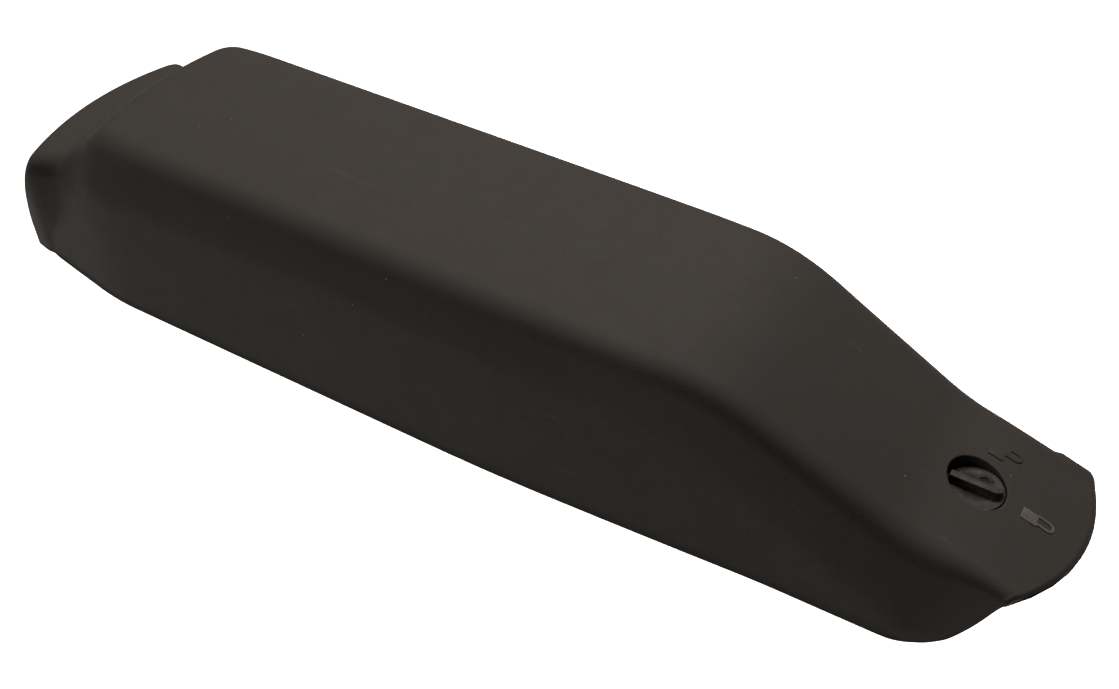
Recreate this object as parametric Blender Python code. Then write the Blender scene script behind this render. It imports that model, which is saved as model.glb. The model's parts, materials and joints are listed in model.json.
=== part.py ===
"""Slim battery pack for the frame tube of an electric bicycle.

Frame: +X runs along the pack from the ledge end to the lock end, +Z is up out of
the cover, and the origin is below the middle of the pack, on the plane of its rim.
Lengths below are millimetres unless a name says otherwise; MM turns them to metres.
"""
import math

import bmesh
import bpy
import numpy as np
from mathutils import Matrix, Vector

MM = 0.001
GAP = 0.3                      # air left between pieces that touch
CUT_PAST = 6.0                 # how far a cutter reaches beyond the wall it opens

# ---- outer skin: runs of (x, value, ease), straight between, eased at each corner ----
X_LEDGE_END = -238.5
TOP_HEIGHT = [(-238.5, 3.0, 0), (-235.8, 30.0, 4), (-227.0, 52.2, 4), (-207.0, 51.8, 4),
              (-177.5, 78.4, 6), (106.0, 78.4, 18), (181.0, 41.4, 8), (207.5, 35.0, 12), (238.5, 24.8, 0)]
TOP_HALF_WIDTH = [(-238.5, 43.6, 0), (-236.4, 48.6, 1), (-227.0, 51.0, 4), (-207.0, 41.2, 6),
                  (-177.0, 44.4, 6), (-160.0, 46.3, 9), (78.0, 46.3, 15), (130.0, 43.0, 15),
                  (221.0, 37.5, 3), (238.5, 37.5, 0)]
CREASE_HEIGHT = [(-238.5, 1.5, 0), (-219.0, 2.5, 3), (-176.0, 55.5, 6), (-30.0, 57.5, 40),
                 (96.0, 54.0, 14), (202.0, 1.5, 6), (238.5, 1.0, 0)]
RIM_HALF_WIDTH = [(-238.5, 43.0, 0), (-222.0, 49.6, 6), (-168.0, 59.2, 12), (30.0, 58.0, 30),
                  (95.0, 54.2, 20), (140.0, 51.2, 10), (192.0, 49.8, 5), (217.5, 37.9, 6),
                  (238.5, 37.7, 0)]
RIM_HEIGHT = [(-238.5, 0.0, 0), (203.0, 0.0, 3), (209.5, 3.0, 2.5), (214.5, 13.0, 2),
              (219.3, 28.0, 1), (238.5, 22.4, 0)]
CAVITY_FLOOR = [(-238.5, -2.0, 0), (199.0, -2.0, 0), (206.0, 3.0, 2), (211.0, 14.0, 2), (214.5, 25.0, 0)]
BOW = [(-238.5, 0.0030, 0), (-226.0, 0.0040, 4), (-207.0, 0.0022, 6), (-177.0, 0.0025, 8),
       (-150.0, 0.0, 10), (188.0, 0.0, 8), (238.5, -0.0081, 0)]
BOW_CENTRE = [(-238.5, 0.0, 0), (188.0, 0.0, 8), (238.5, 10.0, 0)]   # the tongue's arc sits off centre
SIDE_DRAFT = 0.085             # side wall leans in by this much for each unit of height
CROWN = 0.6
TOP_EASE = [(-238.5, 9.0, 0), (-207.0, 9.0, 0), (-180.0, 10.0, 0), (190.0, 9.0, 0), (238.5, 3.0, 0)]
END_DROP = [(-238.5, 0.0, 0), (237.1, 0.0, 0.8), (238.5, 1.3, 0)]      # rounds the tongue's end
CREASE_EASE = 5.0
LIP_HEIGHT = 3.0
LIP_OUT = 0.7
WALL = 3.0
SCREW_TOP_COVER = 3.0          # depth of a screw column's top below the skin's unrounded edge

# ---- where the skin's cross-sections are taken ----
END_STATIONS = [-238.5, -236.5, -232.5, -229.2, -227.2, -225.2, -222.5, -212, -208.5, -205, -200,
                -190, -184, -180, -176, -172, -165, -155]
BODY_STATIONS = [-135, -80, -20, 40, 75, 88, 96, 104, 112, 122, 140, 160, 172, 178, 184]
TONGUE_STATIONS = [190, 196, 200, 204, 208, 212, 216, 219, 222, 226, 232, 236.4, 237.5, 238.5]
CAVITY_START_X = -234.5
INNER_STATIONS = [-229, -224, -216, -208, -202, -190, -176, -165, -135, -20, 20, 85, 100, 120, 150, 170, 184]
CAVITY_END_STATIONS = [194, 203, 213.5]

# ---- lock ----
LOCK_X = 196.5
RECESS_R = 11.0
DISC_R = 10.6
DISC_DEPTH = 3.0               # depths run straight down from the skin at the lock's axis
DISC_THICK = 2.9
GRIP_LENGTH = 19.0
GRIP_WIDTH = 3.0
GRIP_DEPTH = 0.2
RECESS_STEP_DEPTH = 7.6
BOSS_R = 14.5
BOSS_TOP_DEPTH = 1.8
BOSS_END_DEPTH = 16.0
TONGUE_SLOPE = 0.226           # fall of the skin for each unit of X at the lock
SHAFT_R = 4.0
SHAFT_CLEARANCE = 0.4
SHAFT_END_DEPTH = 17.6
STUD_R = 2.5
CAM_DEPTH = 17.9
CAM_THICK = 3.0
CAM_REACH = 25.5
CAM_HUB_R = 6.5
CAM_TIP_R = 4.5
CAM_PAD_X = (21.6, 24.6)       # raised pad that meets the catch plate, about the lock
CAM_PAD_HALF_Y = 2.5
CAM_PAD_RISE = 0.5
CAM_SLOT_X = (12.0, 34.0)      # slot in the front wall that the cam swings through, about the lock
CAM_SLOT_Y = (-7.0, 22.5)
CAM_SLOT_CLEARANCE = 0.8       # above the cam's pad and below its bar
CAM_HOLE_R = 2.85
CAM_THREAD_R = 1.6
CAM_THREAD_DEPTH = (13.0, 25.0)
CAM_SCREW_R = 1.25
CAM_SCREW_HEAD_R = 4.2
CAM_SCREW_HEAD_THICK = 2.2
CAM_SCREW_END_DEPTH = 14.0
SEAL_MIDDLE_R = 8.0
SEAL_THICK_R = 0.55
WASHER_DEPTH = 16.95
WASHER_R = (4.7, 7.2)
WASHER_WAVE = 0.35

# ---- cells: 2 layers of 10, axes across the pack ----
CELL_R = 10.6
CELL_HALF_LENGTH = 35.1
CELL_PITCH = 22.8
CELL_COLUMNS = 10
CELL_FIRST_X = -132.6
CELL_LAYERS_Z = (15.8, 38.6)
HOLDER_HOLE_R = 11.05
HOLDER_Y = (27.0, 31.0)
HOLDER_Z = (3.6, 51.0)
HOLDER_REACH = 13.0            # a holder's end past the axis of its last cell
STRIP_Y = (35.4, 35.7)
SHEET_Y = (36.0, 36.4)
STRIP_REACH = 6.5              # a strip's end past the axis of its last cell
STRIP_SLOT_HALF = (1.5, 12.0)
SHEET_Z = (5.0, 49.5)

# ---- board, foam and leads above and beside the cells, as (low corner, high corner) or route points ----
BOARD = ((-132, -27, 53.0), (-12, 27, 54.6))
BOARD_PARTS = {
    "capacitor": ((-126, -22, 54), (-108, -10, 60)),
    "terminal": ((-126, 2, 54), (-112, 22, 61)),
    "balance_plug": ((-100, -22, 54), (-40, -12, 57.5)),
    "controller": ((-96, 4, 54), (-82, 18, 56)),
    "shunt": ((-70, 2, 54), (-56, 16, 62)),
    "switch_heatsink": ((-34, -20, 54), (-18, 20, 60)),
}
FOAM = ((-4, -27, 51.8), (82, 27, 72.8))
LEAD_R = 1.6
HARNESS_R = 2.2

# ---- tray, screws, connector ----
TRAY_THICK = 3.0
TRAY_CLEARANCE = 0.8           # the cover's wall leans in over the tray's edge
TRAY_END_X = 198.0
UPSTAND_MARGIN = (2.8, 4.6)    # the locating rib's two faces, inside the tray's edge
UPSTAND_TOP = 9.0
GASKET_THICK = 2.2
GASKET_MARGIN = (0.7, 2.4)     # the gasket's two faces, inside the tray's edge
SCREW_PLACES = [(-150.0, 45.0), (96.0, 40.0)]
COLUMN_R = 4.2
PILOT_R = 1.6
PILOT_END_Z = 16.0
COUNTERBORE_R = 3.5
COUNTERBORE_DEPTH = 1.7
SCREW_HOLE_R = 1.9
SCREW_HEAD_R = 3.1
SCREW_HEAD_Z = (0.35, 1.4)
SCREW_SHANK_R = 1.3
SCREW_END_Z = 14.5
CONNECTOR_X = -184.0
CONNECTOR_HALF = (22.0, 11.0)
CONNECTOR_FLANGE = 4.0
CONNECTOR_TOP_Z = 16.0
SOCKET_HALF = (18.0, 7.5)
SOCKET_DEPTH = 10.5
BLADE_X = 11.5
BLADE_HALF = (3.5, 0.6)
BLADE_TIP_Z = 2.5
SIGNAL_HALF = (5.0, 2.2)
SIGNAL_TIP_Z = 3.5

# ---- power button and gauge in the end skirt ----
BUTTON_Y = -16.0
BUTTON_HEIGHT = 27.0
BUTTON_R = 6.0
BUTTON_CLEARANCE = 0.5
BUTTON_FLANGE_R = 8.4
BUTTON_FLANGE_HEIGHTS = (-6.2, -5.0)     # behind the skirt
BUTTON_STANDS = 1.1            # the button's top above the skirt
BUTTON_EDGE = 0.6              # cut of the button's top edge
SKIRT_CUT = (-9.0, 5.0)         # depth and height of the cuts through the skirt
SKIRT_TOP = (-226.0, 51.4)      # where the skirt's straight part ends, x and z
GAUGE_Y = 12.0
GAUGE_HALF = (12.0, 2.5)
GAUGE_CLEARANCE = 0.35
GAUGE_HEIGHTS = (-4.6, 0.3)
SWITCH_BOARD = ((-9, -15, -10.6), (9, 24, -9.0))     # about the button, on its axis

FINISHES = {                   # base colour, roughness, metallic
    "cover_plastic": ((0.026, 0.025, 0.024), 0.62, 0.0),
    "tray_plastic": ((0.020, 0.020, 0.020), 0.70, 0.0),
    "knob_plastic": ((0.030, 0.029, 0.028), 0.50, 0.0),
    "seal_rubber": ((0.015, 0.015, 0.016), 0.85, 0.0),
    "zinc_steel": ((0.62, 0.62, 0.60), 0.35, 1.0),
    "screw_steel": ((0.10, 0.10, 0.11), 0.40, 1.0),
    "cell_sleeve": ((0.06, 0.22, 0.30), 0.35, 0.0),
    "holder_plastic": ((0.05, 0.05, 0.05), 0.60, 0.0),
    "nickel": ((0.66, 0.63, 0.57), 0.28, 1.0),
    "insulation_paper": ((0.55, 0.62, 0.50), 0.80, 0.0),
    "board_green": ((0.02, 0.14, 0.05), 0.45, 0.0),
    "lead_red": ((0.50, 0.02, 0.02), 0.50, 0.0),
    "lead_black": ((0.02, 0.02, 0.02), 0.50, 0.0),
    "foam_grey": ((0.10, 0.10, 0.11), 0.95, 0.0),
    "connector_plastic": ((0.03, 0.03, 0.03), 0.50, 0.0),
    "gauge_lens": ((0.20, 0.24, 0.24), 0.15, 0.0),
}


# ------------------------------------------------------------------ helpers
def rounded_line(points, x):
    """Value at x of straight runs through points, each corner eased over +-ease by a parabola."""
    (x0, v0, _), (x1, v1, _) = points[0], points[1]
    slope = (v1 - v0) / (x1 - x0)
    value = v0 + slope * (x - x0)
    for (xa, va, ease), (xb, vb, _) in zip(points[1:], points[2:]):
        next_slope = (vb - va) / (xb - xa)
        past = x - xa
        if past >= ease:
            step = past
        elif past > -ease:
            step = (past + ease) ** 2 / (4 * ease)
        else:
            step = 0.0
        value += (next_slope - slope) * step
        slope = next_slope
    return value


def eased_corner(before, corner, after, reach, steps):
    """Points of a parabola that rounds the corner of before-corner-after."""
    before, corner, after = (np.array(p, float) for p in (before, corner, after))
    length_in = np.linalg.norm(before - corner)
    length_out = np.linalg.norm(after - corner)
    start = corner + (before - corner) * min(reach / length_in, 0.45)
    end = corner + (after - corner) * min(reach / length_out, 0.45)
    ts = np.linspace(0, 1, steps + 1)
    return [(1 - t) ** 2 * start + 2 * t * (1 - t) * corner + t ** 2 * end for t in ts]


def clear_scene():
    for obj in list(bpy.data.objects):
        bpy.data.objects.remove(obj, do_unlink=True)


def finish_material(slot):
    material = bpy.data.materials.get(slot)
    if material is None:
        colour, roughness, metallic = FINISHES[slot]
        material = bpy.data.materials.new(slot)
        material.use_nodes = True
        shader = material.node_tree.nodes["Principled BSDF"]
        shader.inputs["Base Color"].default_value = (*colour, 1)
        shader.inputs["Roughness"].default_value = roughness
        shader.inputs["Metallic"].default_value = metallic
        material.diffuse_color = (*colour, 1)
    return material


def mesh_object(name, verts, faces, slot=None, smooth=False):
    """New object from millimetre points, triangulated, with its faces turned outward."""
    mesh = bpy.data.meshes.new(name)
    mesh.from_pydata([Vector(v) * MM for v in verts], [], faces)
    bm = bmesh.new()
    bm.from_mesh(mesh)
    bmesh.ops.triangulate(bm, faces=bm.faces)
    bmesh.ops.recalc_face_normals(bm, faces=bm.faces)
    bm.to_mesh(mesh)
    bm.free()
    if smooth:
        mesh.shade_smooth()
        mesh.set_sharp_from_angle(angle=math.radians(35))
    obj = bpy.data.objects.new(name, mesh)
    bpy.context.scene.collection.objects.link(obj)
    if slot:
        mesh.materials.append(finish_material(slot))
    return obj


def ring_stack(name, rings, slot=None, closed=False, smooth=False):
    """Solid skinned over rings of equally many points; closed joins the last ring to the first."""
    count = len(rings[0])
    verts = [point for ring in rings for point in ring]
    faces = []
    last = len(rings) if closed else len(rings) - 1
    for i in range(last):
        a, b = i * count, ((i + 1) % len(rings)) * count
        for j in range(count):
            k = (j + 1) % count
            faces.append((a + j, a + k, b + k, b + j))
    if not closed:
        faces.append(tuple(range(count)))
        faces.append(tuple(range(last * count, (last + 1) * count)))
    return mesh_object(name, verts, faces, slot, smooth)


def circle(radius, height, count=24, turn=0.0):
    angles = [turn + 2 * math.pi * i / count for i in range(count)]
    return [(radius * math.cos(a), radius * math.sin(a), height) for a in angles]


def turned(name, profile, slot=None, count=24, closed=False):
    """Solid of revolution about Z from (radius, height) points."""
    rings = [circle(radius, height, count) for radius, height in profile]
    return ring_stack(name, rings, slot, closed=closed, smooth=True)


def rectangle(x_half, y_half, z, corner=1.0):
    """Rectangle about the origin with small cut corners, anticlockwise."""
    x, y, c = x_half, y_half, corner
    return [(x, -y + c, z), (x, y - c, z), (x - c, y, z), (-x + c, y, z),
            (-x, y - c, z), (-x, -y + c, z), (-x + c, -y, z), (x - c, -y, z)]


def block(name, low, high, slot=None, corner=1.0):
    """Block between two corners, its upright edges cut."""
    middle = [(a + b) / 2 for a, b in zip(low, high)]
    half = [(b - a) / 2 for a, b in zip(low, high)]
    rings = [[(x + middle[0], y + middle[1], z) for x, y, z in rectangle(half[0], half[1], height, corner)]
             for height in (low[2], high[2])]
    return ring_stack(name, rings, slot)


def place(obj, matrix):
    """Move an object's mesh by a matrix whose shift is in millimetres."""
    matrix = matrix.copy()
    matrix.translation = matrix.translation * MM
    obj.data.transform(matrix)
    return obj


def combine(target, other, operation):
    """Keep a Boolean of a helper on the target; the helper is hidden from renders."""
    other.hide_render = True
    other.display_type = "WIRE"
    modifier = target.modifiers.new(f"{operation.lower()}_{other.name}", "BOOLEAN")
    modifier.operation = operation
    modifier.object = other
    modifier.solver = "EXACT"


def cut(target, other):
    combine(target, other, "DIFFERENCE")


def join(target, other):
    combine(target, other, "UNION")


def set_origin(obj, point):
    """Put the object's origin on a millimetre point without moving its surface."""
    shift = Vector(point) * MM
    obj.data.transform(Matrix.Translation(-shift))
    obj.location = shift


# ------------------------------------------------------------------ skin of the cover
def skin_x(station, y):
    return station + rounded_line(BOW, station) * (y - rounded_line(BOW_CENTRE, station)) ** 2


def top_height(station, y):
    x = station if station < 0 else skin_x(station, y)
    return rounded_line(TOP_HEIGHT, x) - rounded_line(END_DROP, station)


def offset_top(station, y, inset):
    """Height of the top skin, or of the surface inset below it."""
    if not inset:
        return top_height(station, y)
    reach = 0.85 * inset
    return min(top_height(station + shift, y) for shift in (-reach, 0, reach)) - inset


def section_corners(station, inset, side=1):
    """Top edge, side crease and rim of one half (side 1 is +Y) as (distance from middle, z)."""
    half = rounded_line(TOP_HALF_WIDTH, station) - 0.8 * inset
    edge = (half, offset_top(station, side * half, inset))
    rim_y = rounded_line(RIM_HALF_WIDTH, station)
    rim_x = skin_x(station, side * rim_y)
    rim_y = rounded_line(RIM_HALF_WIDTH, rim_x)
    bottom = rounded_line(CAVITY_FLOOR if inset else RIM_HEIGHT, rim_x)
    crease_z = max(rounded_line(CREASE_HEIGHT, rim_x), bottom + 0.12 * (edge[1] - bottom))
    if inset:
        crease_z = min(crease_z, edge[1] - 0.4 * (edge[1] - bottom))
    crease_y = max(rim_y - SIDE_DRAFT * (crease_z - bottom), rounded_line(TOP_HALF_WIDTH, station) + 0.2)
    return edge, (crease_y - inset, crease_z), (max(rim_y, crease_y) - inset, bottom)


def half_section(station, inset, side, top_steps, ease_steps, bottom_steps):
    """(y, z) points of one half of a cross-section, from the crown round to under the middle."""
    edge, crease, rim = section_corners(station, inset, side)
    corner = eased_corner((0, edge[1]), edge, crease, rounded_line(TOP_EASE, station), ease_steps)
    bend = eased_corner(edge, crease, rim, CREASE_EASE, 2)
    lip_height = min(LIP_HEIGHT, 0.3 * (crease[1] - rim[1]))
    lip_out = 0 if inset else LIP_OUT * lip_height / LIP_HEIGHT
    lip_start = (rim[0] + (crease[0] - rim[0]) * lip_height / (crease[1] - rim[1]), rim[1] + lip_height)
    points = []
    for i in range(top_steps):
        y = corner[0][0] * i / top_steps
        crown = CROWN * (1 - (y / corner[0][0]) ** 2)
        points.append((y, offset_top(station, side * y, inset) + crown))
    points += [tuple(p) for p in corner] + [tuple(p) for p in bend]
    points += [lip_start, (rim[0] + lip_out, rim[1])]
    floor = CAVITY_FLOOR if inset else RIM_HEIGHT
    for i in range(1, bottom_steps + 1):
        y = (rim[0] + lip_out) * (1 - i / bottom_steps)
        points.append((y, rounded_line(floor, skin_x(station, side * y)) if station > 0 else rim[1]))
    return [(side * y, z) for y, z in points]


def section_ring(station, inset, top_steps, ease_steps, bottom_steps):
    """Closed ring of one cross-section, from the crown down the +Y side and round."""
    far = half_section(station, inset, 1, top_steps, ease_steps, bottom_steps)
    near = half_section(station, inset, -1, top_steps, ease_steps, bottom_steps)
    ring = far + list(reversed(near[1:-1]))
    return [(skin_x(station, y), y, z) for y, z in ring]


def skin_solid(name, stations, inset, top_steps, ease_steps, slot=None):
    rings = [section_ring(s, inset, top_steps, ease_steps, 3) for s in stations]
    return ring_stack(name, rings, slot, smooth=True)


def skin_height(x, y):
    """Height of the cover's outer surface above a point of its plan."""
    edge, crease, rim = section_corners(x, 0)
    return float(np.interp(abs(y), [0, edge[0], crease[0], rim[0]],
                           [edge[1] + CROWN, edge[1], crease[1], rim[1]]))


LOCK_TOP = Vector((LOCK_X, 0, rounded_line(TOP_HEIGHT, LOCK_X) + CROWN))


def in_lock(obj):
    """Move a piece made about the origin onto the lock's upright axis."""
    return place(obj, Matrix.Translation(LOCK_TOP))


def skirt_frame(y):
    """Frame on the end skirt at height BUTTON_HEIGHT, +Z pointing out of the pack."""
    low = Vector((X_LEDGE_END, 0, 3.0))
    high = Vector((SKIRT_TOP[0], 0, SKIRT_TOP[1]))
    share = (BUTTON_HEIGHT - low.z) / (high.z - low.z)
    station = low.x + (high.x - low.x) * share
    lean = math.atan2(high.x - low.x, high.z - low.z)
    point = Vector((skin_x(station, y), y, BUTTON_HEIGHT))
    return Matrix.Translation(point) @ Matrix.Rotation(-math.pi / 2 + lean, 4, "Y")


# ------------------------------------------------------------------ housing
def make_cover():
    stations = END_STATIONS + BODY_STATIONS + TONGUE_STATIONS
    cover = skin_solid("top_cover", stations, 0, 4, 4, "cover_plastic")
    inner = [CAVITY_START_X] + INNER_STATIONS + CAVITY_END_STATIONS
    cavity = skin_solid("helper_cavity", inner, WALL, 2, 2)
    cut(cover, cavity)
    boss_top = [(x, y, -TONGUE_SLOPE * x - BOSS_TOP_DEPTH) for x, y, _ in circle(BOSS_R, 0, 28)]
    join(cover, in_lock(ring_stack("helper_lock_boss", [boss_top, circle(BOSS_R, -BOSS_END_DEPTH, 28)])))
    for number, (x, y) in enumerate(screw_points()):
        top = min(skin_height(x + shift, abs(y) + COLUMN_R) for shift in (-COLUMN_R, COLUMN_R))
        top -= SCREW_TOP_COVER
        column = turned(f"helper_column_{number}", [(COLUMN_R, TRAY_THICK + GAP), (COLUMN_R, top)], count=14)
        place(column, Matrix.Translation((x, y, 0)))
        join(cover, column)
    recess = turned("helper_recess", [(RECESS_R, CUT_PAST), (RECESS_R, -RECESS_STEP_DEPTH)], count=40)
    cut(cover, in_lock(recess))
    bore_r = SHAFT_R + SHAFT_CLEARANCE
    bore = turned("helper_shaft_bore", [(bore_r, CUT_PAST), (bore_r, -BOSS_END_DEPTH - CUT_PAST)])
    cut(cover, in_lock(bore))
    slot_z = (-CAM_DEPTH - CAM_THICK - CAM_SLOT_CLEARANCE, -CAM_DEPTH + CAM_PAD_RISE + CAM_SLOT_CLEARANCE)
    slot = block("helper_cam_slot", *zip(CAM_SLOT_X, CAM_SLOT_Y, slot_z))
    cut(cover, in_lock(slot))
    for number, (x, y) in enumerate(screw_points()):
        pilot = turned(f"helper_pilot_{number}", [(PILOT_R, 1), (PILOT_R, PILOT_END_Z)], count=10)
        cut(cover, place(pilot, Matrix.Translation((x, y, 0))))
    hole_r = BUTTON_R + BUTTON_CLEARANCE
    button_hole = turned("helper_button_hole", [(hole_r, SKIRT_CUT[0]), (hole_r, SKIRT_CUT[1])])
    cut(cover, place(button_hole, skirt_frame(BUTTON_Y)))
    gauge_hole = gauge_block("helper_gauge_hole", *SKIRT_CUT, GAUGE_CLEARANCE)
    cut(cover, gauge_hole)
    return cover


def screw_points():
    return [(x, side * y) for x, y in SCREW_PLACES for side in (1, -1)]


def plan_outline(margin, height):
    """Outline of the tray, margin inside its own edge, as a ring at one height."""
    stations = [CAVITY_START_X + TRAY_CLEARANCE + margin] + INNER_STATIONS[1:] + [TRAY_END_X - margin]
    side = []
    for station in stations:
        y = rounded_line(RIM_HALF_WIDTH, skin_x(station, rounded_line(RIM_HALF_WIDTH, station)))
        y -= WALL + TRAY_CLEARANCE + margin
        side.append((skin_x(station, y), y))
    end = [(skin_x(stations[0], y), y) for y in (20.0, 0.0, -20.0)]
    right = [(x, -y) for x, y in side]
    left = list(reversed(side))
    return [(x, y, height) for x, y in right + left + end]


def make_tray():
    rib_out, rib_in = UPSTAND_MARGIN
    rings = [plan_outline(0, 0.0), plan_outline(0, TRAY_THICK), plan_outline(rib_out, TRAY_THICK),
             plan_outline(rib_out, UPSTAND_TOP), plan_outline(rib_in, UPSTAND_TOP),
             plan_outline(rib_in, TRAY_THICK)]
    tray = ring_stack("base_tray", rings, "tray_plastic")
    for number, (x, y) in enumerate(screw_points()):
        profile = [(COUNTERBORE_R, -1), (COUNTERBORE_R, COUNTERBORE_DEPTH),
                   (SCREW_HOLE_R, COUNTERBORE_DEPTH + 0.01), (SCREW_HOLE_R, TRAY_THICK + 2)]
        bore = turned(f"helper_counterbore_{number}", profile, count=16)
        cut(tray, place(bore, Matrix.Translation((x, y, 0))))
    window_half = [half + GAP for half in CONNECTOR_HALF]
    window = block("helper_connector_window", (CONNECTOR_X - window_half[0], -window_half[1], -1),
                   (CONNECTOR_X + window_half[0], window_half[1], 5), corner=2.0)
    cut(tray, window)
    return tray


def make_gasket():
    low, high = TRAY_THICK + GAP, TRAY_THICK + GAP + GASKET_THICK
    outside, inside = GASKET_MARGIN
    rings = [plan_outline(outside, low), plan_outline(outside, high),
             plan_outline(inside, high), plan_outline(inside, low)]
    ring_stack("perimeter_gasket", rings, "seal_rubber", closed=True)


def make_cover_screws():
    for number, (x, y) in enumerate(screw_points(), start=1):
        head_low, head_high = SCREW_HEAD_Z
        profile = [(SCREW_HEAD_R - 0.1, head_low), (SCREW_HEAD_R, head_low + 0.45), (SCREW_HEAD_R, head_high),
                   (SCREW_SHANK_R, head_high + 0.01), (SCREW_SHANK_R, SCREW_END_Z - 1), (0.7, SCREW_END_Z)]
        screw = turned(f"cover_screw_{number}", profile, "screw_steel", count=12)
        place(screw, Matrix.Translation((x, y, 0)))


# ------------------------------------------------------------------ lock
def make_lock():
    disc_bottom = DISC_DEPTH + DISC_THICK
    profile = [(DISC_R - 0.5, -DISC_DEPTH), (DISC_R, -DISC_DEPTH - 0.5), (DISC_R, -disc_bottom),
               (SHAFT_R, -disc_bottom - 0.01), (SHAFT_R, -SHAFT_END_DEPTH), (STUD_R, -SHAFT_END_DEPTH - 0.01),
               (STUD_R, -CAM_DEPTH - CAM_THICK)]
    knob = turned("lock_knob", profile, "knob_plastic", count=28)
    grip = block("helper_grip", (-GRIP_LENGTH / 2, -GRIP_WIDTH / 2, -DISC_DEPTH - 1),
                 (GRIP_LENGTH / 2, GRIP_WIDTH / 2, -GRIP_DEPTH), corner=0.5)
    in_lock(knob)
    join(knob, in_lock(grip))
    thread = turned("helper_cam_thread", [(CAM_THREAD_R, -depth) for depth in CAM_THREAD_DEPTH], count=12)
    cut(knob, in_lock(thread))
    set_origin(knob, LOCK_TOP)
    seal_centre = (disc_bottom + RECESS_STEP_DEPTH) / 2
    ring = [(SEAL_MIDDLE_R + SEAL_THICK_R * math.cos(a), -seal_centre + SEAL_THICK_R * math.sin(a))
            for a in np.linspace(0, 2 * math.pi, 9)[:-1]]
    in_lock(turned("lock_seal", ring, "seal_rubber", closed=True))
    make_wave_washer()
    make_cam()
    head = CAM_DEPTH + CAM_THICK + GAP
    profile = [(CAM_SCREW_HEAD_R - 0.9, -head - CAM_SCREW_HEAD_THICK), (CAM_SCREW_HEAD_R, -head - 1.6),
               (CAM_SCREW_HEAD_R, -head), (CAM_SCREW_R, -head + 0.01), (CAM_SCREW_R, -CAM_SCREW_END_DEPTH)]
    screw = turned("lock_cam_screw", profile, "zinc_steel", count=16)
    in_lock(screw)


def make_wave_washer():
    """Thin sprung ring between boss and cam, three waves round it."""
    count = 36
    rings = []
    inner_r, outer_r = WASHER_R
    for radius, lift in ((inner_r, 0.25), (outer_r, 0.25), (outer_r, -0.25), (inner_r, -0.25)):
        ring = []
        for i in range(count):
            angle = 2 * math.pi * i / count
            height = -WASHER_DEPTH + WASHER_WAVE * math.sin(3 * angle) + lift
            ring.append((radius * math.cos(angle), radius * math.sin(angle), height))
        rings.append(ring)
    in_lock(ring_stack("lock_wave_washer", rings, "zinc_steel", closed=True))


def make_cam():
    """Tapered bar with a round hub and tip, turned to +X when locked."""
    tip_x = CAM_REACH - CAM_TIP_R
    tangent = math.acos((CAM_HUB_R - CAM_TIP_R) / tip_x)
    outline = []
    for angle in np.linspace(tangent, 2 * math.pi - tangent, 11):
        outline.append((CAM_HUB_R * math.cos(angle), CAM_HUB_R * math.sin(angle)))
    for angle in np.linspace(-tangent, tangent, 8):
        outline.append((tip_x + CAM_TIP_R * math.cos(angle), CAM_TIP_R * math.sin(angle)))
    rings = [[(x, y, z) for x, y in outline] for z in (-CAM_DEPTH - CAM_THICK, -CAM_DEPTH)]
    cam = in_lock(ring_stack("lock_cam", rings, "zinc_steel"))
    hole_ends = (-CAM_DEPTH - CAM_THICK - CUT_PAST, -CAM_DEPTH + CUT_PAST)
    hole = turned("helper_cam_hole", [(CAM_HOLE_R, z) for z in hole_ends], count=16)
    cut(cam, in_lock(hole))
    pad_low = (CAM_PAD_X[0], -CAM_PAD_HALF_Y, -CAM_DEPTH - 1)
    pad_high = (CAM_PAD_X[1], CAM_PAD_HALF_Y, -CAM_DEPTH + CAM_PAD_RISE)
    join(cam, in_lock(block("helper_cam_pad", pad_low, pad_high, corner=0.4)))


# ------------------------------------------------------------------ cells and wiring
def cell_columns():
    return [CELL_FIRST_X + CELL_PITCH * i for i in range(CELL_COLUMNS)]


def make_cells():
    tip, shoulder = CELL_HALF_LENGTH, CELL_HALF_LENGTH - 0.6
    profile = [(CELL_R, -tip), (CELL_R, shoulder), (5.0, shoulder + 0.01), (5.0, tip)]
    number = 1
    for column, x in enumerate(cell_columns()):
        facing = -math.pi / 2 if column % 2 == 0 else math.pi / 2
        for z in CELL_LAYERS_Z:
            cell = turned(f"cell_{number:02d}", profile, "cell_sleeve", count=16)
            place(cell, Matrix.Translation((x, 0, z)) @ Matrix.Rotation(facing, 4, "X"))
            number += 1


def make_holders():
    columns = cell_columns()
    low_x, high_x = columns[0] - HOLDER_REACH, columns[-1] + HOLDER_REACH
    low_z, high_z = HOLDER_Z
    for name, side in (("near_cell_holder", -1), ("far_cell_holder", 1)):
        y_low, y_high = sorted((side * HOLDER_Y[0], side * HOLDER_Y[1]))
        holder = block(name, (low_x, y_low, low_z), (high_x, y_high, high_z), "holder_plastic", corner=0.5)
        verts, faces = [], []
        for x in columns:
            for z in CELL_LAYERS_Z:
                base = len(verts)
                for y in (y_low - 2, y_high + 2):
                    verts += [(x + px, y, z + pz) for px, pz, _ in circle(HOLDER_HOLE_R, 0, 16)]
                faces += [(base + i, base + (i + 1) % 16, base + 16 + (i + 1) % 16, base + 16 + i)
                          for i in range(16)]
                faces += [tuple(range(base, base + 16)), tuple(range(base + 16, base + 32))]
        cut(holder, mesh_object(f"helper_{name}_holes", verts, faces))


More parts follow.
